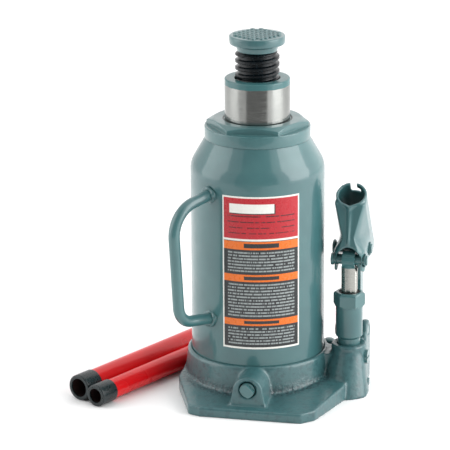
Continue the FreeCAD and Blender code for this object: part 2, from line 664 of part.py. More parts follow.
def handle_socket():
    """The pressed socket: a tube at the mouth that opens into two cheeks."""
    lip = socket_point(0.5, SOCKET_R - 2.0)
    heel = socket_point(SOCKET_LENGTH, -4.0)
    spine = socket_point(4, 0)
    profile = [lip, (-6.5, 128), (-8.0, A[1] + 8), (-9.5, A[1]), (-6.8, A[1] - 6.8),
               (0, A[1] - 9.6), (7.0, A[1] - 7.2), (12, A[1] - 3.6), (B[0], B[1] - 7.6),
               (42, B[1] - 6.6), heel, spine]
    front_y = SOCKET_R - 10.5
    round_front = joined([upright(SOCKET_R, 80, 200, PUMP_X, front_y),
                          block((PUMP_X - 20, front_y, 80), (PUMP_X + 20, 80, 200))])
    plates = side_slab(profile, PUMP_X - SOCKET_R, PUMP_X + SOCKET_R).common(round_front)
    shell = joined([socket_rod(SOCKET_R, 0, SOCKET_LENGTH), plates])
    bore = socket_rod(SOCKET_BORE_R, -1, SOCKET_BORE_DEPTH)
    inner_top = socket_point(SOCKET_BORE_DEPTH, -8.0)
    inner_back = socket_point(SOCKET_LENGTH - 3.0, -8.0)
    inner_front = socket_point(SOCKET_BORE_DEPTH - 8, SOCKET_R + 4)
    room = side_slab([inner_top, inner_back, socket_point(SOCKET_LENGTH - 3, 4), (44, 80),
                      (-6.4, 80), (-6.4, A[1]), (-5.2, A[1] + 8), (-3.4, A[1] + 17), inner_front],
                     PUMP_X - CHEEK_IN, PUMP_X + CHEEK_IN)
    arch_z = A[1] + 2.5
    arch = joined([rod(ARCH_R, (PUMP_X, -30, arch_z), (PUMP_X, 0, arch_z)),
                   block((PUMP_X - ARCH_R, -30, 80), (PUMP_X + ARCH_R, 0, arch_z))])
    pins = [rod(PIN_R, (PUMP_X - 20, y, z), (PUMP_X + 20, y, z)) for y, z in (A, B)]
    return without(shell, [bore, room, arch] + pins + bayonet_slot())


def bayonet_slot():
    """The L-shaped slot in the socket's far wall that locks the handle's button."""
    tilt = math.radians(SOCKET_TILT)
    axis = Vector(0, -math.sin(tilt), math.cos(tilt))
    wide = 4.6
    down = Part.makeBox(wide, 8, 12, Vector(-wide / 2, SOCKET_BORE_R - 3, -9))
    across = Part.makeBox(8, 8, 4.6, Vector(-wide / 2, SOCKET_BORE_R - 3, -9))
    tools = []
    for tool in (down, across):
        tool.rotate(ORIGIN, Vector(1, 0, 0), math.degrees(math.atan2(-axis.y, axis.z)))
        tool.translate(Vector(PUMP_X, SOCKET_MOUTH[0], SOCKET_MOUTH[1]))
        tools.append(tool)
    return tools


def pin(centre, left, right, head_r):
    """A headed pin along X; the head is on the left."""
    y, z = centre
    shank = rod(PIN_R, (PUMP_X + left, y, z), (PUMP_X + right, y, z))
    head = rod(head_r, (PUMP_X + left - 2.2, y, z), (PUMP_X + left, y, z))
    return joined([shank, head])


def clip(centre, x):
    """The spring clip in a pin's free end."""
    y, z = centre
    ring = rod(5.4, (PUMP_X + x, y, z), (PUMP_X + x + 1.0, y, z))
    return ring.cut(rod(PIN_R, (PUMP_X + x - 5, y, z), (PUMP_X + x + 5, y, z)))


def pump_pieces():
    """The pump from its washer up to the handle socket."""
    save("pump_washer", tube(WELL_R, 4.5, WELL_Z, WELL_Z + 1.5, PUMP_X))
    save("pump_barrel", pump_barrel())
    save("pump_wiper", tube(8.6, PLUNGER_R + 0.05, BARREL_TOP - 2.4, BARREL_TOP - 0.4, PUMP_X))
    save("plunger", plunger())
    save("plunger_cup", tube(PLUNGER_R, 2.2, PLUNGER_FOOT - 3, PLUNGER_FOOT, PUMP_X))
    save("link", link())
    save("handle_socket", handle_socket())
    save("plunger_pin", pin(A, -SOCKET_R, SOCKET_R + 2.2, 5.0))
    save("fulcrum_pin", pin(B, -SOCKET_R - 2.6, SOCKET_R + 2.2, 6.0))
    save("link_pin", pin(C, -LUG_OUT - 1.0, LUG_OUT - 0.4, 5.6))
    save("socket_pin_clips", Part.makeCompound([clip(A, SOCKET_R), clip(B, SOCKET_R)]))
    save("link_pin_clip", clip(C, -LUG_OUT - 1.0))


# ---- loose handle tubes ---------------------------------------------------------------
def lying(shape, start, offset, height):
    """Lay a shape made along +X on the floor, beside the jack's left side."""
    heading = math.radians(TUBE_HEADING)
    along = Vector(math.cos(heading), math.sin(heading), 0)
    aside = Vector(-math.sin(heading), math.cos(heading), 0)
    shape.rotate(ORIGIN, UP, TUBE_HEADING)
    shape.translate(along * start + aside * offset + Vector(0, 0, height))
    return shape


def pipe(outer, inner, begin, finish):
    """A tube along +X."""
    return rod(outer, (begin, 0, 0), (finish, 0, 0)).cut(
        rod(inner, (begin - 1, 0, 0), (finish + 1, 0, 0)))


def handle_tube_pieces():
    """The two halves of the pump handle, each with its end sleeve."""
    for name, radius, cap_r, length, start, offset in (
            ("lower_handle", LOWER_TUBE_R, LOWER_CAP_R, LOWER_TUBE_LENGTH, LOWER_TUBE_START,
             LOWER_TUBE_OFFSET),
            ("upper_handle", UPPER_TUBE_R, UPPER_CAP_R, UPPER_TUBE_LENGTH, UPPER_TUBE_START,
             UPPER_TUBE_OFFSET)):
        bore = radius - TUBE_WALL
        height = cap_r + 0.02
        body = pipe(radius, bore, 1.5, length)
        sleeve = joined([pipe(cap_r, radius, 1.5, CAP_LENGTH), pipe(cap_r, bore - 0.6, 0, 1.5)])
        save(name + "_tube", lying(body, start, offset, height))
        save(name + "_sleeve", lying(sleeve, start, offset, height))


def build():
    """Make every piece."""
    save("base_casting", base_casting())
    save("reservoir_tank", reservoir_tank())
    save("main_cylinder", main_cylinder())
    save("top_nut", top_nut())
    body_seals()
    save("carry_handle", carry_handle())
    save("carry_handle_welds", handle_welds())
    save("label_panel", label_panel())
    save("filler_plug", filler_plug())
    valve_pieces()
    overload_pieces()
    save("release_valve_stem", release_valve_stem())
    ram_pieces()
    save("extension_screw", extension_screw())
    save("saddle", saddle())
    save("screw_keeper", screw_keeper())
    pump_pieces()
    handle_tube_pieces()


build()
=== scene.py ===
import json
import math

import bmesh
import bpy
import numpy as np
from mathutils import Matrix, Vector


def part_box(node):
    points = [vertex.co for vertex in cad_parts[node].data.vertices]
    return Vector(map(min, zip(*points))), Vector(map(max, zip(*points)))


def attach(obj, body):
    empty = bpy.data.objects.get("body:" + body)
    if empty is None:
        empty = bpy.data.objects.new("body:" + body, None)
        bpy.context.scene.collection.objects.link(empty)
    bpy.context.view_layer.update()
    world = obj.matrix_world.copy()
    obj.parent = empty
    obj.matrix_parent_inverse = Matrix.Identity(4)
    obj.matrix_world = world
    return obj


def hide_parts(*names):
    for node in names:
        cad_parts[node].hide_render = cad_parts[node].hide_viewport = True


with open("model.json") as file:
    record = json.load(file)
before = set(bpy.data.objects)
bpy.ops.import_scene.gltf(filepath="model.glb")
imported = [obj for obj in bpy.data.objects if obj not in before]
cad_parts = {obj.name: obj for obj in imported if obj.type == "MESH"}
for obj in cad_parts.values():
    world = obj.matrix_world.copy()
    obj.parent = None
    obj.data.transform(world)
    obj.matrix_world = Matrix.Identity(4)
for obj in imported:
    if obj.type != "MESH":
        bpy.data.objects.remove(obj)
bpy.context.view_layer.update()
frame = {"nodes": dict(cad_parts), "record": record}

nodes = frame["nodes"]

# Sizes are millimetres until mesh_of() or write_points() turns them into metres.
MM = 0.001
TURN = 2 * math.pi
SMOOTH_BELOW = 38.0     # degrees between faces that still shade as one surface
WELD_REACH = 0.001      # points of a new surface this near to each other are one
MERGE_REACH = 0.004     # the same for the loose triangles of a CAD node
EDGE_STEPS = 6          # spans in an eased corner


def span(node):
    """Lowest and highest corners of a CAD node, in millimetres."""
    low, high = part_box(node)
    return np.array(low) / MM, np.array(high) / MM


def radius_of(node):
    """Half the width of a round CAD node."""
    low, high = span(node)
    return (high[0] - low[0]) / 2


JOINTS = {joint["name"]: joint for joint in frame["record"]["behaviour"]["joints"]}
MOUNTS = {mount["name"]: mount for mount in frame["record"]["mounts"]}
TANK_R = radius_of("reservoir_tank")
TANK_FOOT, TANK_TOP = (corner[2] for corner in span("reservoir_tank"))
RAM_R = radius_of("ram")
RAM_FOOT, RAM_TOP = (corner[2] for corner in span("ram"))
SCREW_FOOT = span("extension_screw")[0][2]
SCREW_R = radius_of("extension_screw")
NUT_COLLAR_R = radius_of("top_nut")
NUT_TOP = span("top_nut")[1][2]
SADDLE_R = radius_of("saddle")
SADDLE_FOOT, SADDLE_TOP = (corner[2] for corner in span("saddle"))
RIM_FOOT = SADDLE_FOOT + 5.6
FULCRUM = np.array(JOINTS["socket_swing"]["pos_m"]) / MM
PUMP_X = FULCRUM[0]
SOCKET_AXIS = np.array(MOUNTS["handle_socket_bore"]["axis"])
SOCKET_MIDDLE = np.array(MOUNTS["handle_socket_bore"]["pos_m"]) / MM


# ---- surfaces -------------------------------------------------------------------------
def smooth_shaded(mesh, angle=SMOOTH_BELOW):
    """Shade a mesh smooth, with edges sharper than an angle left crisp."""
    mesh.polygons.foreach_set("use_smooth", np.ones(len(mesh.polygons), bool))
    mesh.set_sharp_from_angle(angle=math.radians(angle))


def placed(name, mesh):
    """A mesh as an object at the origin."""
    piece = bpy.data.objects.new(name, mesh)
    bpy.context.scene.collection.objects.link(piece)
    return piece


def finish_mesh(name, mesh, smooth):
    """Weld doubles, drop loose points, face outwards and shade smooth below an angle."""
    work = bmesh.new()
    work.from_mesh(mesh)
    bmesh.ops.remove_doubles(work, verts=work.verts, dist=WELD_REACH * MM)
    loose = [vert for vert in work.verts if not vert.link_faces]
    bmesh.ops.delete(work, geom=loose, context="VERTS")
    bmesh.ops.recalc_face_normals(work, faces=work.faces)
    work.to_mesh(mesh)
    work.free()
    smooth_shaded(mesh, smooth)
    mesh.update()
    return placed(name, mesh)


def grid_faces(rows, columns):
    """Quads of a rows by columns grid of points, as an index array."""
    corner = np.arange(rows - 1)[:, None] * columns + np.arange(columns - 1)[None, :]
    corner = corner.ravel()
    return np.stack([corner, corner + 1, corner + columns + 1, corner + columns], axis=1)


def mesh_of(name, points, faces):
    """A mesh in metres from millimetre points and lists of faces."""
    mesh = bpy.data.meshes.new(name)
    mesh.from_pydata(np.asarray(points).reshape(-1, 3) * MM, [], faces)
    return mesh


def surface(name, points, smooth=SMOOTH_BELOW):
    """A piece from a (rows, columns, 3) grid of points; its seams and poles are welded."""
    rows, columns = points.shape[:2]
    faces = grid_faces(rows, columns).tolist()
    return finish_mesh(name, mesh_of(name, points, faces), smooth)


def eased(corners, reaches):
    """A run of corners with each inner corner replaced by a parabola.

    At corner P the curve is (1-t)^2 A + 2t(1-t) P + t^2 B, where A and B lie on the two
    runs one reach away from P, and never past most_of_run of a run.
    """
    most_of_run = 0.45
    corners = np.asarray(corners, float)
    count = corners.shape[-2]
    reaches = np.broadcast_to(np.asarray(reaches, float), (count - 2,))
    rows = [corners[..., 0, :]]
    t = np.linspace(0, 1, EDGE_STEPS + 1)
    for k in range(1, count - 1):
        here = corners[..., k, :]
        back = corners[..., k - 1, :] - here
        ahead = corners[..., k + 1, :] - here
        back_long = np.linalg.norm(back, axis=-1, keepdims=True)
        ahead_long = np.linalg.norm(ahead, axis=-1, keepdims=True)
        reach = np.minimum(reaches[k - 1], most_of_run * np.minimum(back_long, ahead_long))
        start = here + back * reach / np.maximum(back_long, 1e-9)
        end = here + ahead * reach / np.maximum(ahead_long, 1e-9)
        for s in t:
            rows.append((1 - s) ** 2 * start + 2 * s * (1 - s) * here + s ** 2 * end)
    rows.append(corners[..., -1, :])
    return np.stack(rows, axis=-2)


def square_to(axis):
    """Two unit vectors square to an axis and to each other, and the unit axis."""
    axis = np.asarray(axis, float)
    axis = axis / np.linalg.norm(axis)
    helper = np.array([0.0, 0.0, 1.0]) if abs(axis[2]) < 0.9 else np.array([1.0, 0.0, 0.0])
    side = np.cross(helper, axis)
    side = side / np.linalg.norm(side)
    return side, np.cross(axis, side), axis


def turned(name, corners, reaches, steps, origin=(0, 0, 0), axis=(0, 0, 1)):
    """A (radius, height) outline turned about an axis.

    Point = origin + r (cos a * side + sin a * up) + h * axis, for a over a full turn.
    """
    outline = eased(corners, reaches)
    side, up, axis = square_to(axis)
    angle = np.linspace(0, TURN, steps + 1)
    radial = np.cos(angle)[:, None] * side + np.sin(angle)[:, None] * up
    points = (np.asarray(origin, float) + outline[:, None, 0, None] * radial[None]
              + outline[:, None, 1, None] * axis)
    return surface(name, points)


def ringed(name, section, steps, x=0.0):
    """An upright turned piece whose outline changes with the angle a.

    section(a) gives (angles, corners, 2) radii and heights, and the reach at each inner
    corner; point = (x + r cos a, r sin a, z).
    """
    angle = np.linspace(0, TURN, steps + 1)
    corners, reaches = section(angle)
    outline = eased(corners, reaches)
    points = np.stack([x + outline[..., 0] * np.cos(angle)[:, None],
                       outline[..., 0] * np.sin(angle)[:, None], outline[..., 1]], axis=-1)
    return surface(name, points.transpose(1, 0, 2))


def outlines(angle, *pairs):
    """Stack (radius, height) pairs, each a number or one value per angle."""
    return np.stack([np.stack([r + 0 * angle, z + 0 * angle], axis=-1) for r, z in pairs],
                    axis=1)


def hexagon(angle, flats, heading):
    """Radius of a hexagon: half its flats over the cosine of the angle off a flat."""
    off = np.mod(angle - heading + math.pi / 6, math.pi / 3) - math.pi / 6
    return flats / 2 / np.cos(off)


def arc_route(corners, radii):
    """Straight runs joined by tangent arcs: at each inner corner the arc's centre lies on
    the line that halves the corner, one radius from both runs."""
    t = np.linspace(0, 1, 25)[:, None]
    points = [corners[0]]
    for k, radius in enumerate(radii, start=1):
        back = corners[k - 1] - corners[k]
        ahead = corners[k + 1] - corners[k]
        back = back / np.linalg.norm(back)
        ahead = ahead / np.linalg.norm(ahead)
        half = math.acos(np.clip(back @ ahead, -1, 1)) / 2
        inward = (back + ahead) / np.linalg.norm(back + ahead)
        centre = corners[k] + inward * radius / math.sin(half)
        start = corners[k] + back * radius / math.tan(half)
        end = corners[k] + ahead * radius / math.tan(half)
        sweep = math.pi - 2 * half
        points += list(centre + (np.sin((1 - t) * sweep) * (start - centre)
                                 + np.sin(t * sweep) * (end - centre)) / math.sin(sweep))
    points.append(corners[-1])
    return np.array(points)


def carried(name, route, radius, normal):
    """A round bar along a flat route: point = route + r (cos a * n + sin a * b), where b
    is the normal of the route's plane and n is b crossed with the tangent."""
    tangent = np.gradient(route, axis=0)
    tangent = tangent / np.linalg.norm(tangent, axis=1, keepdims=True)
    side = np.cross(normal, tangent)
    angle = np.linspace(0, TURN, 49)[None, :, None]
    points = route[:, None] + radius * (np.cos(angle) * side[:, None]
                                        + np.sin(angle) * normal)
    caps = [np.repeat(row.mean(axis=0)[None, None], angle.size, axis=1)
            for row in (points[0], points[-1])]
    return surface(name, np.concatenate([caps[0], points, caps[1]]))


def merged_copy(node, name, flat_angle=0.0):
    """A copy of a CAD node with its loose triangles merged, as an object; faces that meet
    below flat_angle degrees become one."""
    work = bmesh.new()
    work.from_mesh(nodes[node].data)
    bmesh.ops.remove_doubles(work, verts=work.verts, dist=MERGE_REACH * MM)
    if flat_angle:
        bmesh.ops.dissolve_limit(work, verts=work.verts, edges=work.edges,
                                 angle_limit=math.radians(flat_angle))
    mesh = bpy.data.meshes.new(name)
    work.to_mesh(mesh)
    work.free()
    return placed(name, mesh)


def eased_copy(node, name, ease):
    """A merged copy of a CAD node with its sharp edges eased."""
    piece = merged_copy(node, name, flat_angle=1.0)
    smooth_shaded(piece.data)
    bevel = piece.modifiers.new("eased", "BEVEL")
    bevel.width = ease * MM
    bevel.segments = 2
    bevel.limit_method = "ANGLE"
    bevel.angle_limit = math.radians(35.0)
    bevel.use_clamp_overlap = True
    bevel.harden_normals = True
    return piece


def cast_copy(node, name, voxel, passes, keep_flat):
    """A copy of a CAD node remeshed into even cells and relaxed, as a casting's edges are.

    Each pass moves a point half way to the mean of its neighbours; with keep_flat, points
    on the flat underside keep their height.
    """
    piece = merged_copy(node, name)
    mesh = piece.data
    remesh = piece.modifiers.new("cells", "REMESH")
    remesh.mode = "VOXEL"
    remesh.voxel_size = voxel * MM
    remesh.use_smooth_shade = True
    graph = bpy.context.evaluated_depsgraph_get()
    done = bpy.data.meshes.new_from_object(piece.evaluated_get(graph))
    piece.modifiers.clear()
    piece.data = done
    done.name = name
    bpy.data.meshes.remove(mesh)
    points = read_points(done)
    edges = np.empty(len(done.edges) * 2, int)
    done.edges.foreach_get("vertices", edges)
    edges = edges.reshape(-1, 2)
    count = np.bincount(edges.ravel(), minlength=len(points))[:, None]
    flat = keep_flat & (points[:, 2] < points[:, 2].min() + 0.05)
    for _ in range(passes):
        total = np.zeros_like(points)
        for k in range(3):
            total[:, k] = (np.bincount(edges[:, 0], points[edges[:, 1], k], len(points))
                           + np.bincount(edges[:, 1], points[edges[:, 0], k], len(points)))
        moved = points + 0.5 * (total / count - points)
        moved[flat, 2] = points[flat, 2]
        points = moved
    write_points(done, points)
    return piece


def read_points(mesh):
    """A mesh's points as an array of millimetres."""
    points = np.empty(len(mesh.vertices) * 3)
    mesh.vertices.foreach_get("co", points)
    return points.reshape(-1, 3) / MM


def write_points(mesh, points):
    """Put millimetre points into a mesh, shaded smooth all over."""
    mesh.vertices.foreach_set("co", (points * MM).ravel())
    mesh.polygons.foreach_set("use_smooth", np.ones(len(mesh.polygons), bool))
    mesh.update()


def stands_for(piece, body, slot, material, *replaced):
    """What a new piece rides on, its finish, and the CAD nodes that it replaces."""
    piece.data.materials.append(material)
    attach(piece, body)
    if replaced:
        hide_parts(*replaced)
    return piece


# ---- materials ------------------------------------------------------------------------
def linear(red, green, blue):
    """A linear colour from 0-255 display values."""
    values = np.array([red, green, blue]) / 255
    low = values / 12.92
    high = ((values + 0.055) / 1.055) ** 2.4
    return tuple(np.where(values < 0.04045, low, high)) + (1.0,)


class Nodes:
    """Short ways to add nodes to a tree and link them."""

    def __init__(self, tree):
        self.tree = tree

    def node(self, kind, **values):
        """A node with its properties set; names of inputs go in through put()."""
        made = self.tree.nodes.new(kind)
        for key, value in values.items():
            setattr(made, key, value)
        return made

    def put(self, socket, value):
        """Set a socket to a number or colour, or link it to another socket."""
        if isinstance(value, bpy.types.NodeSocket):
            self.tree.links.new(value, socket)
        else:
            socket.default_value = value

    def band(self, value, low, high, out_low=0.0, out_high=1.0, smooth=True):
        """Map a value from one range to another, clamped."""
        made = self.node("ShaderNodeMapRange")
        made.interpolation_type = "SMOOTHSTEP" if smooth else "LINEAR"
        for key, number in (("From Min", low), ("From Max", high), ("To Min", out_low),
                            ("To Max", out_high)):
            made.inputs[key].default_value = number
        self.put(made.inputs["Value"], value)
        return made.outputs["Result"]

    def sum(self, operation, first, second=0.0, third=0.0):
        """A Math node."""
        made = self.node("ShaderNodeMath", operation=operation)
        for socket, value in zip(made.inputs, (first, second, third)):
            self.put(socket, value)
        return made.outputs["Value"]

    def product(self, first, *others):
        """Two or more values multiplied together."""
        for other in others:
            first = self.sum("MULTIPLY", first, other)
        return first


class Finish(Nodes):
    """A surface finish for this jack's pieces, made in the material's own nodes."""

    def __init__(self, name, rough=0.4, metallic=0.0, coat=0.0, coat_rough=0.03):
        self.material = bpy.data.materials.new(name)
        self.material.use_nodes = True
        super().__init__(self.material.node_tree)
        self.shader = self.tree.nodes["Principled BSDF"]
        self.shader.inputs["Roughness"].default_value = rough
        self.shader.inputs["Metallic"].default_value = metallic
        self.shader.inputs["Coat Weight"].default_value = coat
        self.shader.inputs["Coat Roughness"].default_value = coat_rough

    def where(self, kind="Object"):
        """Object coordinates in metres, or the piece's own UV."""
        return self.node("ShaderNodeTexCoord").outputs[kind]

    def stretched(self, scale):
        """Object coordinates with a pattern stretched along each axis."""
        mapping = self.node("ShaderNodeMapping", vector_type="TEXTURE")
        self.put(mapping.inputs["Vector"], self.where())
        mapping.inputs["Scale"].default_value = scale
        return mapping.outputs["Vector"]

    def noise(self, size, detail, rough=0.55, vector=None):
        """Noise whose features are about size millimetres across."""
        made = self.node("ShaderNodeTexNoise")
        self.put(made.inputs["Vector"], vector or self.where())
        made.inputs["Scale"].default_value = 1 / (size * MM)
        made.inputs["Detail"].default_value = detail
        made.inputs["Roughness"].default_value = rough
        return made.outputs["Fac"]

    def mix(self, factor, first, second):
        """A colour between two colours."""
        made = self.node("ShaderNodeMix", data_type="RGBA")
        self.put(made.inputs[0], factor)
        self.put(made.inputs[6], first)
        self.put(made.inputs[7], second)
        return made.outputs[2]

    def axes(self, kind="Object"):
        """The separate X, Y and Z of Object coordinates, or of the piece's own UV."""
        made = self.node("ShaderNodeSeparateXYZ")
        self.put(made.inputs[0], self.where(kind))
        return made.outputs

    def rise(self, value, low, high):
        """A smooth step from 0 at low to 1 at high, both in millimetres."""
        return self.band(value, low * MM, high * MM)

    def bump(self, height, distance, over=None):
        """A bump whose full height is distance millimetres, over another or alone."""
        made = self.node("ShaderNodeBump")
        made.inputs["Distance"].default_value = distance * MM
        self.put(made.inputs["Height"], height)
        if over:
            self.put(made.inputs["Normal"], over)
        return made.outputs["Normal"]

    def finish(self, colour=None, roughness=None, normal=None, metallic=None):
        """Link the shader's sockets and give back the material."""
        for key, value in (("Base Color", colour), ("Roughness", roughness),
                           ("Normal", normal), ("Metallic", metallic)):
            if value is not None:
                self.put(self.shader.inputs[key], value)
        if normal is not None and self.shader.inputs["Coat Weight"].default_value:
            self.put(self.shader.inputs["Coat Normal"], normal)
        return self.material


ENAMEL = linear(62, 106, 108)
ENAMEL_DARK = linear(54, 97, 100)
# The casting's enamel below is the tank's enamel made darker as painted shade, and the colour
# after it is the painted shade for the casting's hollows and crevice.
CAST_ENAMEL_SHADED = linear(52, 93, 97)
CAST_PAINTED_SHADE = linear(22, 54, 60)

# The crevice round the tank's cup, in the casting, which takes painted shade: its inner and
# outer radii run from clean to fully rough and shaded, and it dies out up the ring.
CREVICE_INNER = (56.5, 58.5)
CREVICE_OUTER = (70.0, 61.0)
CREVICE_HEIGHT = (24.0, 13.0)

RAM_PAINT = 4.4         # how far paint reaches down the ram from its top
EYE_HEIGHT = 8.2        # how far the plunger's painted eye reaches below its pin


def drifting(paint, first, second):
    """A slow drift between two tones of paint."""
    return paint.mix(paint.band(paint.noise(38, 2), 0.35, 0.65), first, second)


def gloss_enamel():
    """Stoved grey-green enamel on smooth metal: slow tone drift and faint orange peel."""
    paint = Finish("grey_green_enamel", rough=0.34, coat=0.7, coat_rough=0.06)
    colour = drifting(paint, ENAMEL_DARK, ENAMEL)
    worn = paint.band(paint.noise(14, 3), 0.3, 0.7, 0.3, 0.4)
    return paint.finish(colour, worn, paint.bump(paint.noise(5.5, 0), 0.03))


def casting_enamel():
    """The same enamel over sand casting, made darker as painted shade: a coarse skin with
    painted shade in its hollows.

    Round the foot of the tank's cup, where the ring meets the plate, the skin is at its
    roughest and carries its deepest painted shade; that place is a band of the distance from
    the ram's axis.
    """
    paint = Finish("grey_green_enamel_on_casting", rough=0.38, coat=0.6, coat_rough=0.08)
    x, y, z = paint.axes()
    radius = paint.sum("SQRT", paint.sum("ADD", paint.product(x, x), paint.product(y, y)))
    near = paint.product(paint.rise(radius, *CREVICE_INNER), paint.rise(radius, *CREVICE_OUTER),
                         paint.rise(z, *CREVICE_HEIGHT))
    skin = paint.noise(4.0, 4)
    coarse = paint.noise(2.6, 3, 0.6)
    # painted shade in the low places of the skin's bump
    hollow_shade = paint.band(skin, 0.52, 0.36, 0.0, 0.35)
    # painted shade in the crevice where the ring meets the plate
    crevice_shade = paint.product(near, paint.band(coarse, 0.62, 0.4, 0.25, 0.95))
    colour = paint.mix(paint.sum("MAXIMUM", hollow_shade, crevice_shade),
                       drifting(paint, CAST_ENAMEL_SHADED, ENAMEL_DARK), CAST_PAINTED_SHADE)
    normal = paint.bump(paint.product(near, coarse), 0.9, over=paint.bump(skin, 0.3))
    return paint.finish(colour, paint.band(skin, 0.3, 0.7, 0.34, 0.5), normal)


def painted_above(steel, height, patch, ragged):
    """1 where paint covers the steel and 0 below it, with an edge made ragged by noise in
    patches, all in millimetres."""
    wander = steel.product(steel.noise(patch, 2), ragged * MM)
    return steel.rise(steel.sum("ADD", steel.axes()[2], wander), height, height + 0.3)


def ground_steel():
    """Centreless-ground bar: fine rings along its length, paint round the very top."""
    steel = Finish("ground_bar", rough=0.22, metallic=1.0)
    rings = steel.noise(0.55, 3, 0.6, steel.stretched((40, 40, 1)))
    bare = steel.mix(steel.noise(9, 3), linear(138, 140, 138), linear(156, 157, 154))
    painted = painted_above(steel, RAM_TOP - RAM_PAINT, 7, 1.2)
    return steel.finish(steel.mix(painted, bare, ENAMEL),
                        steel.band(rings, 0.3, 0.7, 0.12, 0.24),
                        steel.bump(rings, 0.006), steel.sum("SUBTRACT", 1.0, painted))


def bare_steel(name, tone, rough):
    """Plain machined steel with a fine all-over scratch and light staining."""
    steel = Finish(name, rough=rough, metallic=1.0)
    scratch = steel.noise(0.5, 4, 0.65, steel.stretched((12, 1, 1)))
    stain = steel.band(steel.noise(6, 4), 0.35, 0.7)
    dark = tuple(value * 0.7 for value in tone[:3]) + (1.0,)
    return steel.finish(steel.mix(stain, tone, dark),
                        steel.band(scratch, 0.3, 0.7, rough - 0.06, rough + 0.12),
                        steel.bump(scratch, 0.01))


def painted_plunger():
    """Ground steel up to the eye, and enamel from there up with a ragged edge."""
    steel = Finish("plunger_steel", rough=0.2, metallic=1.0)
    rings = steel.noise(0.6, 3, 0.6, steel.stretched((30, 30, 1)))
    bare = steel.mix(steel.noise(7, 3), linear(150, 150, 146), linear(172, 172, 166))
    painted = painted_above(steel, FULCRUM[2] - EYE_HEIGHT, 2.5, 1.4)
    return steel.finish(steel.mix(painted, bare, ENAMEL),
                        steel.band(rings, 0.3, 0.7, 0.25, 0.29),
                        metallic=steel.sum("SUBTRACT", 1.0, painted))


def black_oxide():
    """Oil-blackened screw steel, rubbed a little brighter in patches."""
    black = Finish("black_oxide", rough=0.3, metallic=0.1)
    black.shader.inputs["Specular IOR Level"].default_value = 0.35
    rub = black.band(black.noise(3.2, 4), 0.5, 0.75)
    colour = black.mix(rub, linear(3, 10, 15), linear(12, 26, 34))
    return black.finish(colour, black.band(rub, 0, 1, 0.24, 0.4),
                        black.bump(black.noise(1.6, 2), 0.02))


def moulded(name, dark, light, rough, grain):
    """Moulded plastic or rubber: a fine grain and a slow drift of tone."""
    stuff = Finish(name, rough=rough)
    colour = stuff.mix(stuff.band(stuff.noise(11, 3), 0.3, 0.7), dark, light)
    worn = stuff.band(stuff.noise(1.6, 3), 0.3, 0.7, rough - 0.07, rough + 0.1)
    return stuff.finish(colour, worn, stuff.bump(stuff.noise(0.7, 3), grain))


def red_enamel():
    """Glossy red tube paint: a slow drift of tone and faint orange peel."""
    paint = Finish("red_tube_enamel", rough=0.3, coat=0.25, coat_rough=0.04)
    paint.shader.inputs["Specular IOR Level"].default_value = 0.3
    colour = paint.mix(paint.band(paint.noise(40, 2), 0.3, 0.7), linear(206, 2, 10),
                       linear(226, 6, 16))
    worn = paint.band(paint.noise(30, 2), 0.3, 0.7, 0.27, 0.33)
    return paint.finish(colour, worn, paint.bump(paint.noise(9.0, 0), 0.01))


# The label's blocks, as shares of the panel's height or width
LABEL_HEAD = (0.725, 0.99)
LABEL_BODY = (0.012, 0.712)
LABEL_BARS = ((0.655, 0.708), (0.445, 0.492), (0.155, 0.199))
LABEL_ROWS = ((0.505, 0.645, 7, 1.0), (0.21, 0.435, 11, 5.0), (0.025, 0.145, 6, 9.0))
HEAD_ROWS = ((0.865, 0.88), (0.828, 0.842), (0.792, 0.804), (0.756, 0.768))
BODY_DASHES = 60.0
HEAD_DASHES = 30.0


def printed_label():
    """Film label on the panel's own UV: a red head, then three bands of plain dark rows.

    Every block is a band of the panel's height and width; the rows are broken into dashes
    by noise, so nothing on it can be read.
    """
    film = Finish("printed_film", rough=0.36, coat=0.12, coat_rough=0.12)
    across, up = film.axes("UV")[0:2]
    soft = 0.002

    def between(value, low, high):
        """1 between two bounds and 0 outside them, with soft edges."""
        return film.sum("SUBTRACT", film.band(value, low - soft, low + soft),
                        film.band(value, high - soft, high + soft))

    def block(up_span, across_span):
        """1 inside a rectangle of the panel."""
        return film.product(between(up, *up_span), between(across, *across_span))

    def rows(low, high, count, dashes, seed):
        """Rows of dashes: a wave up the block times noise stretched along each row."""
        place = film.band(up, low, high, 0.0, float(count), smooth=False)
        line = film.band(film.sum("PINGPONG", place, 0.5), 0.2, 0.3)
        join = film.node("ShaderNodeCombineXYZ")
        film.put(join.inputs[0], film.product(across, dashes))
        film.put(join.inputs[1], film.product(film.sum("FLOOR", place), 3.7))
        join.inputs[2].default_value = seed
        gaps = film.node("ShaderNodeTexNoise")
        film.put(gaps.inputs["Vector"], join.outputs[0])
        gaps.inputs["Scale"].default_value = 1.0
        gaps.inputs["Detail"].default_value = 2.0
        broken = film.band(gaps.outputs["Fac"], 0.4, 0.46)
        return film.product(block((low, high), (0.07, 0.93)), line, broken)

    white = linear(232, 232, 226)
    ink = linear(26, 30, 32)
    colour = film.mix(between(up, *LABEL_HEAD), white, linear(180, 18, 34))
    colour = film.mix(between(up, *LABEL_BODY), colour, ink)
    for low, high in LABEL_BARS:
        colour = film.mix(between(up, low, high), colour, linear(226, 108, 10))
        badge = block((low + 0.012, high - 0.012), (0.28, 0.72))
        colour = film.mix(badge, colour, ink)
    for low, high, count, seed in LABEL_ROWS:
        dashes = rows(low, high, count, BODY_DASHES, seed)
        colour = film.mix(dashes, colour, linear(146, 154, 154))
    colour = film.mix(block((0.886, 0.948), (0.105, 0.675)), colour, ink)
    colour = film.mix(block((0.892, 0.952), (0.095, 0.66)), colour, white)
    for low, high in HEAD_ROWS:
        dashes = rows(low, high, 1, HEAD_DASHES, low * 40)
        colour = film.mix(dashes, colour, linear(70, 10, 18))
    colour = film.mix(block((0.01, 0.99), (0.018, 0.982)), white, colour)
    return film.finish(colour, film.band(film.noise(4, 3), 0.3, 0.7, 0.22, 0.36),
                       film.bump(film.noise(1.4, 2), 0.01))


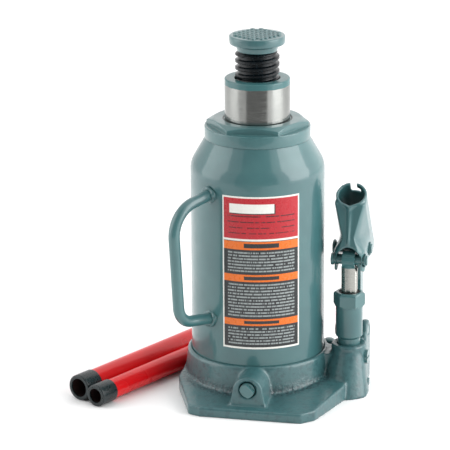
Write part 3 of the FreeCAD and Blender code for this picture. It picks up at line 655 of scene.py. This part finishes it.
enamel = gloss_enamel()
cast_enamel = casting_enamel()
ground = ground_steel()
plunger_finish = painted_plunger()
plain_steel = bare_steel("plain_steel", linear(150, 150, 150), 0.34)
oxide = black_oxide()
rubber = moulded("black_rubber", linear(20, 20, 20), linear(34, 34, 34), 0.6, 0.05)
plastic = moulded("black_green_plastic", linear(9, 20, 22), linear(18, 34, 37), 0.3, 0.02)
copper = bare_steel("copper_washer", linear(184, 116, 82), 0.35)
red = red_enamel()
bare_bore = moulded("unpainted_tube_bore", linear(30, 16, 16), linear(52, 30, 26), 0.6, 0.05)
film = printed_label()


# ---- tank, nut and what is fixed to them ----------------------------------------------
TANK_WALL = 3.5
SHOULDER_Z = 179.0
SHOULDER_ARC_R = 21.0
SHOULDER_TURN = math.radians(30.0)
FOOT_CHAMFER = 0.5


def tank_shell():
    """The tank: an upright wall, an arc of SHOULDER_TURN inwards, then a straight cone,
    with an inner wall one thickness inside, all turned about the ram's axis."""
    turn = np.linspace(0, SHOULDER_TURN, 25)

    def wall(radius, arc_r):
        """The outline from the shoulder up: the arc, then the cone's top point."""
        arc = np.stack([radius - arc_r * (1 - np.cos(turn)),
                        SHOULDER_Z + arc_r * np.sin(turn)], axis=1)
        rise = TANK_TOP - arc[-1, 1]
        return np.vstack([arc, [[arc[-1, 0] - rise * math.tan(SHOULDER_TURN), TANK_TOP]]])

    foot = np.array([[TANK_R - TANK_WALL, TANK_FOOT], [TANK_R - FOOT_CHAMFER, TANK_FOOT],
                     [TANK_R, TANK_FOOT + FOOT_CHAMFER]])
    rise = np.linspace(TANK_FOOT + 2, SHOULDER_Z - 1, 30)
    upright = np.stack([np.full(30, TANK_R), rise], axis=1)
    inside = wall(TANK_R - TANK_WALL, SHOULDER_ARC_R - TANK_WALL)[::-1]
    outline = np.vstack([foot, upright, wall(TANK_R, SHOULDER_ARC_R), inside, foot[:1]])
    angle = np.linspace(0, TURN, 257)
    points = np.stack([outline[:, 0, None] * np.cos(angle), outline[:, 0, None] * np.sin(angle),
                       outline[:, 1, None] + 0 * angle], axis=-1)
    piece = surface("tank_shell", points)
    return stands_for(piece, "body", "grey_enamel", enamel, "reservoir_tank")


def closing_nut():
    """The nut on the tank: a round collar, then a hexagon whose corners a cone cuts."""
    collar_top = NUT_TOP - 5.5
    chamfer_r = 34.4
    chamfer_slope = 2.2
    seat_r = 38.0
    mouth_r = 27.0
    bore = RAM_R + 0.05

    def section(angle):
        """The nut's outline at each angle: collar, flats, chamfer cone and mouth."""
        flat_r = hexagon(angle, 70.0, math.radians(35.6))
        cut_z = NUT_TOP - (flat_r - chamfer_r) / chamfer_slope
        pairs = outlines(angle, (seat_r, TANK_TOP), (NUT_COLLAR_R, TANK_TOP),
                         (NUT_COLLAR_R, collar_top), (flat_r + 0.15, collar_top - 0.05),
                         (flat_r, cut_z), (chamfer_r, NUT_TOP), (mouth_r + 0.6, NUT_TOP),
                         (mouth_r, NUT_TOP - 0.8), (bore, NUT_TOP - 1.2), (bore, TANK_TOP),
                         (seat_r, TANK_TOP))
        return pairs, [0.9, 0.9, 0.5, 0.7, 0.8, 0.5, 0.2, 0.2, 0.2]

    piece = ringed("closing_nut", section, steps=480)
    return stands_for(piece, "body", "grey_enamel", enamel, "top_nut")


HANDLE_HEADING = math.radians(-123.2)
HANDLE_BAR_R = 4.5
HANDLE_END_R = 51.0     # the bar's ends are buried this far from the ram's axis
HANDLE_BENDS = (24.0, 15.0)
HANDLE_CORNERS = ((HANDLE_END_R, 168.25), (92.0, 161.5), (86.0, 71.0), (HANDLE_END_R, 66.55))


def carrying_handle():
    """A bent round bar and the lumpy bead of weld round each of its ends.

    The bar's corners are (distance from the ram's axis, height) in one upright plane.
    """
    out = np.array([math.cos(HANDLE_HEADING), math.sin(HANDLE_HEADING), 0.0])
    pairs = np.array(HANDLE_CORNERS)
    corners = pairs[:, :1] * out + pairs[:, 1:] * np.array([0.0, 0.0, 1.0])
    route = arc_route(corners, HANDLE_BENDS)
    normal = np.array([-math.sin(HANDLE_HEADING), math.cos(HANDLE_HEADING), 0.0])
    bar = carried("carrying_handle", route, HANDLE_BAR_R, normal)
    stands_for(bar, "body", "grey_enamel", enamel, "carry_handle")
    for name, end, bend in (("upper_weld", corners[0], corners[1]),
                            ("lower_weld", corners[3], corners[2])):
        along = (bend - end) / np.linalg.norm(bend - end)
        bead = weld_bead(name, end + along * (TANK_R + 0.2 - HANDLE_END_R), along)
        stands_for(bead, "body", "grey_enamel", enamel)
        if name == "upper_weld":
            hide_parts("carry_handle_welds")


def weld_bead(name, centre, along):
    """A bead round the bar: a ring whose thickness swells and sinks with the sum of
    sin 3a and sin 5a, as the runs of a hand weld do."""
    side, up, along = square_to(along)
    angle = np.linspace(0, TURN, 145)[:, None]
    turn = np.linspace(0, TURN, 25)[None, :]
    thick = 2.1 + 0.4 * np.sin(3 * angle + 0.8) + 0.3 * np.sin(5 * angle)
    out = HANDLE_BAR_R + 0.4 + thick * np.cos(turn)
    rise = thick * 0.85 * np.sin(turn)
    radial = np.cos(angle)[..., None] * side + np.sin(angle)[..., None] * up
    points = centre + out[..., None] * radial + rise[..., None] * along
    return surface(name, points, smooth=60)


LABEL_MIDDLE = math.radians(-74.8)
LABEL_HALF = math.radians(33.9)


def label_film():
    """The film on the tank: a thin curved panel with turned-down rims.

    Point = (r cos h, r sin h, z) for heading h and height z over the panel, with r drawn
    in to the tank at the rims; u and v of its own UV run across and up.
    """
    low, high = span("label_panel")
    tall = high[2] - low[2]
    across = np.concatenate([[0, 0], np.linspace(0, 1, 97), [1, 1]])
    up = np.concatenate([[0, 0], np.linspace(0, 1, 49), [1, 1]])
    lift_a = np.ones(len(across))
    lift_u = np.ones(len(up))
    lift_a[[0, -1]] = 0
    lift_u[[0, -1]] = 0
    lift = lift_a[None, :] * lift_u[:, None]
    radius = TANK_R + 0.05 + 0.22 * lift
    heading = LABEL_MIDDLE + LABEL_HALF * (2 * across[None, :] - 1) + 0 * up[:, None]
    height = low[2] + tall * up[:, None] + 0 * across[None, :]
    points = np.stack([radius * np.cos(heading), radius * np.sin(heading), height], axis=-1)
    piece = surface("label_film", points)
    mesh = piece.data
    layer = mesh.uv_layers.new(name="panel")
    corner = np.empty(len(mesh.loops), int)
    mesh.loops.foreach_get("vertex_index", corner)
    place = read_points(mesh)[corner]
    u = (np.arctan2(place[:, 1], place[:, 0]) - LABEL_MIDDLE) / (2 * LABEL_HALF) + 0.5
    v = (place[:, 2] - low[2]) / tall
    layer.data.foreach_set("uv", np.stack([u, v], axis=1).ravel())
    return stands_for(piece, "body", "printed_label", film, "label_panel")


BUNG_HEADING = math.radians(70)
BUNG_Z = 168


def filler_bung():
    """The rubber filler plug: a flat disc with a small round grip in its middle."""
    out = np.array([math.cos(BUNG_HEADING), math.sin(BUNG_HEADING), 0.0])
    disc_r = 7.0
    grip_r = 3.0
    piece = turned("filler_bung", [(0, TANK_R - 0.3), (disc_r, TANK_R - 0.3),
                                   (disc_r, TANK_R + 3.0), (grip_r + 0.2, TANK_R + 3.4),
                                   (grip_r, TANK_R + 5.4), (0, TANK_R + 5.5)],
                   [0.2, 1.3, 0.8, 0.9], steps=72, origin=(0, 0, BUNG_Z), axis=out)
    return stands_for(piece, "body", "black_rubber", rubber, "filler_plug")


# ---- ram, screw and saddle ------------------------------------------------------------
def ram_bar():
    """The ram: a ground bar, bored for the screw, with a spigot at its foot."""
    shoulder = 82.0
    spigot_r = 16
    bore_r = 17.9
    bore_foot = 160
    piece = turned("ram_bar", [(0, RAM_FOOT), (spigot_r, RAM_FOOT), (spigot_r, shoulder),
                               (RAM_R, shoulder), (RAM_R, RAM_TOP), (bore_r, RAM_TOP),
                               (bore_r, bore_foot), (0, bore_foot)],
                   [0.3, 0.3, 0.4, 1.1, 0.5, 0.2], steps=256)
    return stands_for(piece, "ram", "ground_steel", ground, "ram")


def thread_bar():
    """The extension screw: r(u) = root + depth * w(u), a rounded wave of one pitch.

    The grid follows the helix, so point = (r cos a, r sin a, u + pitch * a / turn), with u
    in steps that divide the pitch.  The wave fades out near both ends.
    """
    pitch = 5.6
    root = 15.3
    fade_length = 2.4
    steps = 16
    rows = int((SADDLE_FOOT - SCREW_FOOT) / pitch + 3) * steps
    u = SCREW_FOOT - pitch + np.arange(rows) * pitch / steps
    angle = np.linspace(0, TURN, 145)
    z = np.clip(u[:, None] + pitch * angle[None] / TURN, SCREW_FOOT, SADDLE_FOOT)
    phase = np.mod(u / pitch, 1.0)
    wave = np.clip(0.5 + 1.15 * np.cos(TURN * phase), 0, 1)
    wave = wave * wave * (3 - 2 * wave)
    ends = (np.clip((SADDLE_FOOT - z) / fade_length, 0, 1)
            * np.clip((z - SCREW_FOOT) / fade_length, 0, 1))
    r = root + (SCREW_R - root) * wave[:, None] * ends
    body = np.stack([r * np.cos(angle), r * np.sin(angle), z], axis=-1)
    neck_r = 11.0
    neck_top = RIM_FOOT + 2.0
    ring = [(neck_r, SADDLE_FOOT), (neck_r, neck_top), (0, neck_top)]
    neck = np.stack([np.stack([q * np.cos(angle), q * np.sin(angle), h + 0 * angle], axis=-1)
                     for q, h in ring])
    start = np.stack([0 * angle, 0 * angle, SCREW_FOOT + 0 * angle], axis=-1)[None]
    piece = surface("thread_bar", np.concatenate([start, body, neck]), smooth=50)
    return stands_for(piece, "extension_screw", "black_screw", oxide, "extension_screw")


BUMP_HEIGHT = 1.2
BUMP_PITCH = 4.7
BUMP_HALF = 1.95
BUMP_SKEW = math.radians(-32.2)


def load_saddle():
    """The saddle's rim and collar, turned, and its grid of small cushion-shaped bumps.

    Each bump is a stack of rings; a ring's radius is a share of the rounded square
    half / (|cos a|^5 + |sin a|^5)^(1/5), and its height is its share's lift.
    """
    face = SADDLE_TOP - BUMP_HEIGHT
    bore = 11.1
    collar = 16.7
    rim = turned("saddle_rim", [(bore, SADDLE_FOOT), (collar - 1.2, SADDLE_FOOT),
                                (collar, RIM_FOOT - 1.4), (collar - 0.9, RIM_FOOT - 0.9),
                                (collar, RIM_FOOT + 0.1), (SADDLE_R - 0.4, RIM_FOOT - 0.2),
                                (SADDLE_R, RIM_FOOT + 2.8), (SADDLE_R, face - 0.2),
                                (SADDLE_R - 2.6, face), (0, face), (0, RIM_FOOT + 2.1),
                                (bore, RIM_FOOT + 2.1), (bore, SADDLE_FOOT)],
                 [0.5, 0.3, 0.4, 0.8, 2.0, 1.9, 1.9, 1.2, 0, 0, 0], steps=192)
    stands_for(rim, "saddle", "grey_enamel", enamel)
    place = np.arange(-4, 5) * BUMP_PITCH
    x, y = (axis.ravel() for axis in np.meshgrid(place, place))
    inside = np.hypot(x, y) < SADDLE_R - 3.6
    centre = np.stack([x * math.cos(BUMP_SKEW) - y * math.sin(BUMP_SKEW),
                       x * math.sin(BUMP_SKEW) + y * math.cos(BUMP_SKEW)], axis=1)[inside]
    angle = np.linspace(0, TURN, 17)[:-1] + math.pi / 16
    square = BUMP_HALF / (np.abs(np.cos(angle)) ** 5 + np.abs(np.sin(angle)) ** 5) ** 0.2
    share = np.array([1.0, 0.9, 0.7, 0.4, 0.0])
    lift = np.array([-0.4, 0.6, 1.0, 1.18, BUMP_HEIGHT])
    ring = share[:, None] * square[None]
    across = centre[:, None, None, 0] + ring * np.cos(angle + BUMP_SKEW)
    along = centre[:, None, None, 1] + ring * np.sin(angle + BUMP_SKEW)
    height = face + lift[:, None] + 0 * across
    points = np.stack([across, along, height], axis=-1)
    levels, count = ring.shape
    one = []
    for level in range(levels - 1):
        start = level * count
        one += [[start + k, start + (k + 1) % count, start + count + (k + 1) % count,
                 start + count + k] for k in range(count)]
    faces = [[corner + bump * levels * count for corner in face_corners]
             for bump in range(len(centre)) for face_corners in one]
    piece = finish_mesh("saddle_bumps", mesh_of("saddle_bumps", points, faces), smooth=70)
    return stands_for(piece, "saddle", "grey_enamel", enamel, "saddle")


# ---- pump -----------------------------------------------------------------------------
KEEL_PINCH = 0.5
KEEL_DEPTH = 20.0
KEEL_START = 8.0
SEAM_LIFT = 1.4
SEAM_HALF = 2.2


def pump_cylinder():
    """The pump barrel: a thin neck in the casting, a round body and a hexagonal head."""
    foot, top = (corner[2] for corner in span("pump_barrel"))
    head_z = top - 11.8
    well_z = top - 2.4
    neck_z = 44.0
    bore = 6.55
    neck_r = 8.95
    barrel_r = 10.7

    def section(angle):
        """The barrel's outline at each angle: neck, barrel, flats and the well on top."""
        flat_r = hexagon(angle, 22.0, math.radians(33))
        under_r = np.minimum(flat_r, barrel_r + 0.7)
        pairs = outlines(angle, (bore, foot), (neck_r, foot), (neck_r, neck_z),
                         (barrel_r, neck_z + 1.6), (barrel_r, head_z), (under_r, head_z),
                         (flat_r, head_z + 1.7), (flat_r, top - 1.5), (10.4, top), (8.4, top),
                         (8.2, well_z), (bore, well_z), (bore, foot))
        return pairs, [0.2, 0.4, 0.5, 0.3, 0.3, 0.5, 0.7, 0.8, 0.3, 0.2, 0.2]

    piece = ringed("pump_cylinder", section, steps=288, x=PUMP_X)
    return stands_for(piece, "body", "grey_enamel", enamel, "pump_barrel")


def pressed_socket():
    """The handle socket, relaxed like pressed plate, with its front pressed to a keel.

    below is how far a point lies under the tube's axis, square to it.  The squeeze of x
    towards the middle grows with below, from nothing at KEEL_START to KEEL_PINCH one
    KEEL_DEPTH further out, and fades away at the eye.  The seam lifts the skin by
    SEAM_LIFT exp(-(x / SEAM_HALF)^2) along the middle, and the lip of the mouth droops
    into a V over it.
    """
    piece = cast_copy("handle_socket", "pressed_socket", voxel=0.6, passes=5, keep_flat=False)
    mesh = piece.data
    points = read_points(mesh)
    side = points[:, 0] - PUMP_X
    z = points[:, 2]
    slope = np.array([0.0, -SOCKET_AXIS[2], SOCKET_AXIS[1]]) * np.sign(SOCKET_AXIS[2])
    below = (points - SOCKET_MIDDLE) @ slope
    keel = np.clip((below - KEEL_START) / KEEL_DEPTH, 0, 1) * fade(z, 114, 129)
    points[:, 0] = PUMP_X + side * (1 - KEEL_PINCH * keel)
    seam = SEAM_LIFT * np.exp(-(side / SEAM_HALF) ** 2) * fade(below, 9, 12) * fade(z, 118, 128)
    points[:, 1] -= seam
    points[:, 2] -= seam * (1 - fade(below, 12, 20))
    write_points(mesh, points)
    return stands_for(piece, "handle_socket", "grey_enamel", enamel, "handle_socket")


def fade(value, low, high):
    """A smooth step from 0 at low to 1 at high."""
    t = np.clip((value - low) / (high - low), 0, 1)
    return t * t * (3 - 2 * t)


# ---- base and loose tubes -------------------------------------------------------------
def cast_base():
    """The cast base with its edges relaxed."""
    piece = cast_copy("base_casting", "cast_base", voxel=1.0, passes=4, keep_flat=True)
    return stands_for(piece, "body", "grey_enamel", cast_enamel, "base_casting")


SLEEVE_LENGTH = 17.0
SLEEVE_END = 1.5        # how far the sleeve goes past the tube's end
SLEEVE_LIP = 0.6        # how far its end wall reaches inside the bore


def loose_tube(name, radius, sleeve_r):
    """One red tube, unpainted inside, and its dark end sleeve, turned about its own axis."""
    mount = MOUNTS[name + "_bore"]
    axis = np.array(mount["axis"])
    middle = np.array(mount["pos_m"]) / MM
    half = mount["dims"]["length_mm"] / 2
    bore = mount["dims"]["r_mm"]
    tube = turned(name + "_bar", [(bore, -half), (radius, -half), (radius, half), (bore, half),
                                  (bore, -half)], [0.4, 0.8, 0.4], 96, middle, axis)
    stands_for(tube, name, "red_enamel", red, name + "_tube")
    tube.data.materials.append(bare_bore)
    side, up, _ = square_to(axis)
    centres = np.empty(len(tube.data.polygons) * 3)
    tube.data.polygons.foreach_get("center", centres)
    off = centres.reshape(-1, 3) / MM - middle
    inner = np.hypot(off @ side, off @ up) < bore + 0.1
    tube.data.polygons.foreach_set("material_index", inner.astype(int))
    start = -half - SLEEVE_END
    stop = start + SLEEVE_LENGTH
    lip = bore - SLEEVE_LIP
    sleeve = turned(name + "_grip", [(lip, start), (sleeve_r, start), (sleeve_r, stop),
                                     (radius, stop), (radius + 0.01, start + SLEEVE_END),
                                     (lip, start + SLEEVE_END), (lip, start)],
                    [1.3, 0.9, 0.1, 0.1, 0.1], 96, middle, axis)
    stands_for(sleeve, name, "black_plastic", plastic, name + "_sleeve")


# ---- small pieces carried over with eased edges ---------------------------------------
# What shows, with its finish and how wide its eased edges are
EASED = {
    "link": (enamel, 0.8),
    "plunger_pin": (enamel, 0.9),
    "fulcrum_pin": (enamel, 0.9),
    "link_pin": (enamel, 0.9),
    "socket_pin_clips": (enamel, 0.2),
    "link_pin_clip": (enamel, 0.2),
    "delivery_plug": (enamel, 0.4),
    "suction_plug": (enamel, 0.3),
    "overload_cap": (enamel, 0.3),
    "plunger": (plunger_finish, 0.35),
    "release_valve_stem": (enamel, 0.25),
}
# What is inside the jack, with its finish
HIDDEN = {
    "main_cylinder": plain_steel,
    "piston": plain_steel,
    "piston_retainer": plain_steel,
    "backup_ring": plastic,
    "screw_keeper": plain_steel,
    "suction_ball": plain_steel,
    "delivery_ball": plain_steel,
    "release_ball": plain_steel,
    "overload_ball": plain_steel,
    "overload_spring": plain_steel,
    "overload_screw": plain_steel,
    "oil_strainer": plain_steel,
    "cylinder_washer": copper,
    "pump_washer": copper,
    "tank_gasket": rubber,
    "top_nut_seal": rubber,
    "ram_wiper": rubber,
    "release_valve_ring": rubber,
    "piston_cup": rubber,
    "pump_wiper": rubber,
    "plunger_cup": rubber,
}
SLOTS = {part["node"]: part["material_slot"] for part in frame["record"]["subparts"]}
BODY_OF = {node: body for body, names in frame["record"]["behaviour"]["bodies"].items()
           for node in names}


def small_pieces():
    """Copies with eased edges for what shows, and a finish for what is inside."""
    for node, (material, ease) in EASED.items():
        piece = eased_copy(node, node + "_eased", ease)
        stands_for(piece, BODY_OF[node], SLOTS[node], material, node)
    for node, material in HIDDEN.items():
        mesh = nodes[node].data
        mesh.materials.clear()
        mesh.materials.append(material)


# ---- studio ---------------------------------------------------------------------------
# The tent's dim gap: its heading, its half width as a tangent, how it narrows upwards, the
# softness of its edges, and the light left in it; then the tent's light on either side.
GAP_HEADING = math.radians(-80.0)
GAP_WIDTH = 0.739
GAP_TAPER = 0.112
GAP_SOFT = 0.04
GAP_LIGHT = 0.3
TENT_LEFT = 0.62
TENT_RIGHT = 1.15
BACKDROP_LIGHT = 1.2

TABLE_FRONT = 640.0
TABLE_REACH = 3000.0
TABLE_Z = -0.05

CAMERA_AT = (434.6, -2030.0, 766.0)
CAMERA_HEADING = math.radians(12.8)
CAMERA_TILT = math.radians(16.98)
CAMERA_ROLL = math.radians(-0.386)


def white_tent():
    """A white tent, brighter on the right, with a dim gap in front.

    With ahead, aside and up the shares of a ray's direction along the gap, across it and
    upwards, the gap is where |aside| - GAP_WIDTH ahead + GAP_TAPER up is below 0.  What
    lies behind the jack stays plain white.
    """
    world = bpy.data.worlds.new("white_studio")
    bpy.context.scene.world = world
    world.use_nodes = True
    sky = Nodes(world.node_tree)
    background = sky.tree.nodes["Background"]
    background.inputs["Color"].default_value = (1.0, 1.0, 1.0, 1.0)
    towards = sky.node("ShaderNodeTexCoord").outputs["Generated"]

    def share_along(*direction):
        """How much of a ray's direction runs along another direction."""
        made = sky.node("ShaderNodeVectorMath", operation="DOT_PRODUCT")
        sky.put(made.inputs[0], towards)
        made.inputs[1].default_value = direction
        return made.outputs["Value"]

    ahead = share_along(math.cos(GAP_HEADING), math.sin(GAP_HEADING), 0.0)
    aside = share_along(-math.sin(GAP_HEADING), math.cos(GAP_HEADING), 0.0)
    up = share_along(0.0, 0.0, 1.0)
    edge = sky.sum("MULTIPLY_ADD", ahead, -GAP_WIDTH, sky.sum("ABSOLUTE", aside))
    edge = sky.sum("MULTIPLY_ADD", up, GAP_TAPER, edge)
    tent = sky.product(sky.band(aside, -0.7, 0.7, TENT_LEFT, TENT_RIGHT),
                       sky.band(edge, -GAP_SOFT, GAP_SOFT))
    seen = sky.node("ShaderNodeLightPath").outputs["Is Camera Ray"]
    strength = sky.sum("MAXIMUM", sky.sum("ADD", tent, GAP_LIGHT),
                       sky.product(seen, BACKDROP_LIGHT))
    sky.put(background.inputs["Strength"], strength)


def white_table():
    """A flat sheet of white paper that ends a little way in front of the jack."""
    corners = [(-TABLE_REACH, -TABLE_FRONT, TABLE_Z), (TABLE_REACH, -TABLE_FRONT, TABLE_Z),
               (TABLE_REACH, TABLE_REACH, TABLE_Z), (-TABLE_REACH, TABLE_REACH, TABLE_Z)]
    floor = placed("studio_floor", mesh_of("studio_floor", corners, [[0, 1, 2, 3]]))
    paper = Finish("white_paper", rough=0.9)
    grain = paper.band(paper.noise(60, 3), 0.3, 0.7)
    shade = paper.mix(grain, (0.96, 0.96, 0.96, 1.0), (0.98, 0.98, 0.98, 1.0))
    floor.data.materials.append(paper.finish(shade))


def stand(thing, right, up, away, place):
    """Place a light or camera by its own axes: right, up, and away from what it faces."""
    matrix = np.eye(4)
    matrix[:3, :3] = np.stack([right, up, away], axis=1)
    matrix[:3, 3] = np.array(place, float) * MM
    thing.matrix_world = Matrix(matrix.tolist())
    bpy.context.scene.collection.objects.link(thing)


def soft_panel(name, place, power):
    """A tall soft light at a place, facing the middle of the jack."""
    lamp = bpy.data.lights.new(name, "AREA")
    lamp.shape = "RECTANGLE"
    lamp.size = 1.1
    lamp.size_y = 1.3
    lamp.energy = power
    away = np.array(place, float) - np.array([0.0, 0.0, 120.0])
    stand(bpy.data.objects.new(name, lamp), *square_to(away), place)


def long_lens_camera():
    """The camera: level axes at its heading, tilted down, then rolled about its own view."""
    camera = bpy.data.objects.new("camera", bpy.data.cameras.new("camera"))
    camera.data.sensor_width = 36.0
    camera.data.lens = 219.2
    camera.data.clip_end = 50.0
    sin_h, cos_h = math.sin(CAMERA_HEADING), math.cos(CAMERA_HEADING)
    sin_t, cos_t = math.sin(CAMERA_TILT), math.cos(CAMERA_TILT)
    level = np.array([cos_h, sin_h, 0.0])
    upright = np.array([-sin_h * sin_t, cos_h * sin_t, cos_t])
    away = np.array([sin_h * cos_t, -cos_h * cos_t, sin_t])
    right = level * math.cos(CAMERA_ROLL) + upright * math.sin(CAMERA_ROLL)
    up = upright * math.cos(CAMERA_ROLL) - level * math.sin(CAMERA_ROLL)
    stand(camera, right, up, away, CAMERA_AT)
    bpy.context.scene.camera = camera


tank_shell()
closing_nut()
carrying_handle()
label_film()
filler_bung()
ram_bar()
thread_bar()
load_saddle()
pump_cylinder()
pressed_socket()
cast_base()
loose_tube("lower_handle", radius=9.6, sleeve_r=10.4)
loose_tube("upper_handle", radius=8.0, sleeve_r=8.9)
small_pieces()

white_tent()
white_table()
soft_panel("left_panel", (-1250, -350, 620), 8)
soft_panel("right_panel", (1250, -50, 620), 15)
long_lens_camera()
bpy.context.scene.view_settings.view_transform = "Standard"
